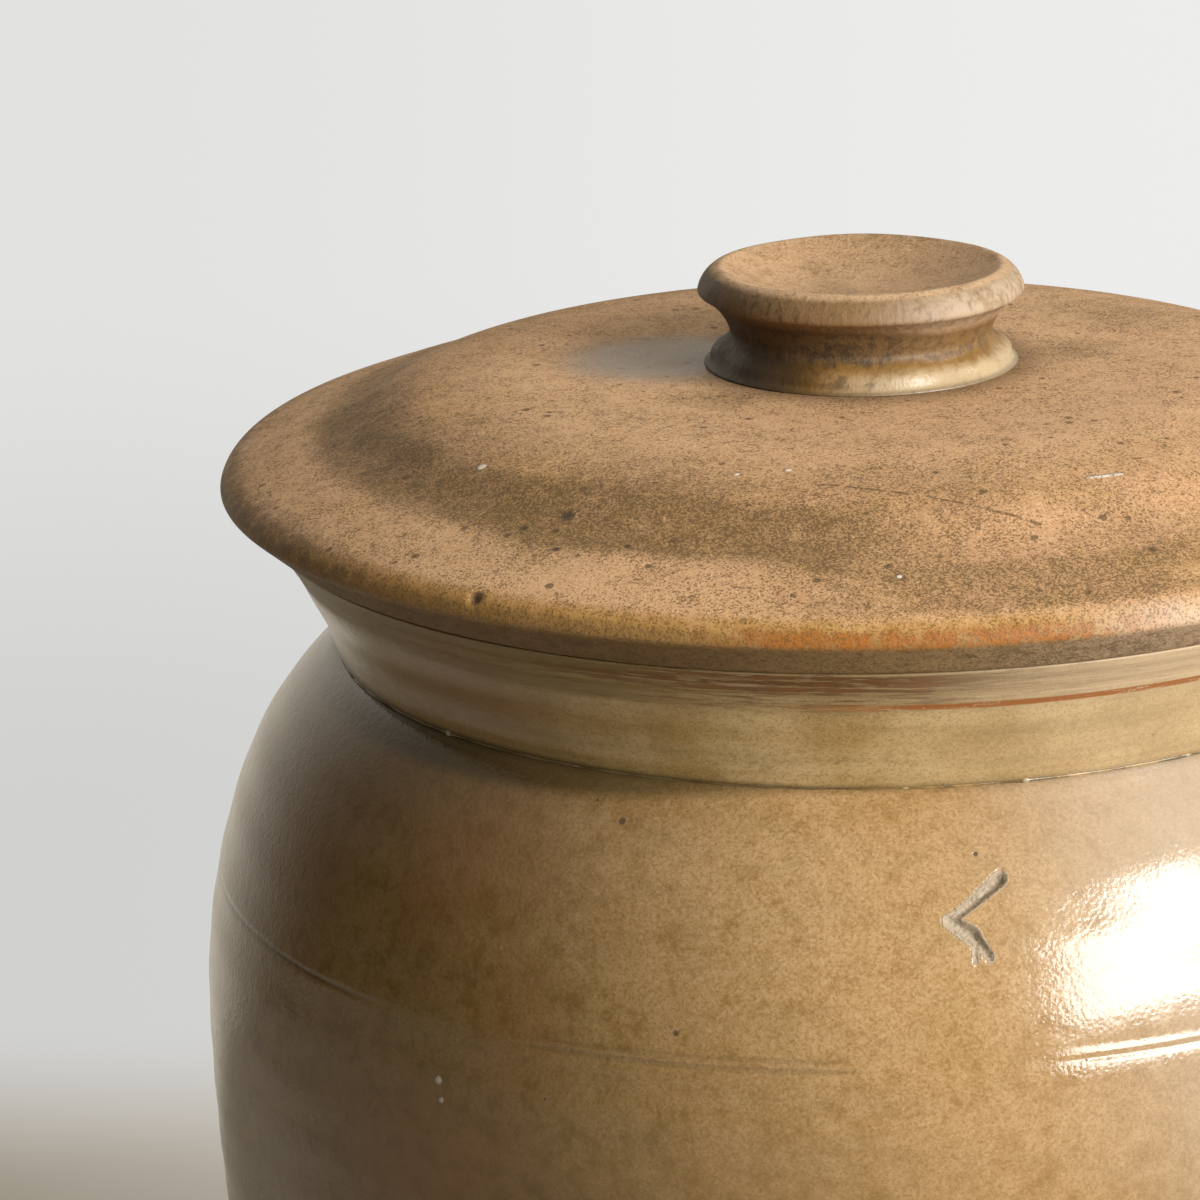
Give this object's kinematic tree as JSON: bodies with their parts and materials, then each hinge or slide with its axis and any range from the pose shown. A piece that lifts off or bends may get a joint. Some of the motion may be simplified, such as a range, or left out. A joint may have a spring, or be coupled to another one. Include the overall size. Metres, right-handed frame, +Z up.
{
  "type": "butter crock",
  "caption": "Round stoneware crock with a flared collar and a loose domed lid: a button knob lifts the lid, and a ring under it centres it in the mouth.",
  "frame": {"origin": "centre of the crock's foot, on the surface that it stands on", "axes": "+Z up along the axis that the crock and lid were turned about; +X and +Y are level"},
  "size_m": [0.1998, 0.1998, 0.2303],
  "materials": {
    "belly_glaze": "glossy tan salt glaze with an orange-peel skin",
    "collar_glaze": "glossy khaki salt glaze with throwing lines",
    "lid_clay": "dry speckled tan stoneware, ochre at the edge",
    "flange_clay": "bare buff stoneware",
    "knob_clay": "satin tan stoneware, cream glaze at the foot"
  },
  "bodies": {
    "crock": {"crock_body": "belly_glaze", "neck_collar": "collar_glaze"},
    "lid": {"lid_disc": "lid_clay", "lid_flange": "flange_clay", "lid_knob": "knob_clay"}
  },
  "joints": [
    {"name": "lid_lift", "type": "slide", "parent": "crock", "child": "lid", "axis": [0, 0, 1], "range_m": [0, 0.12]}
  ]
}
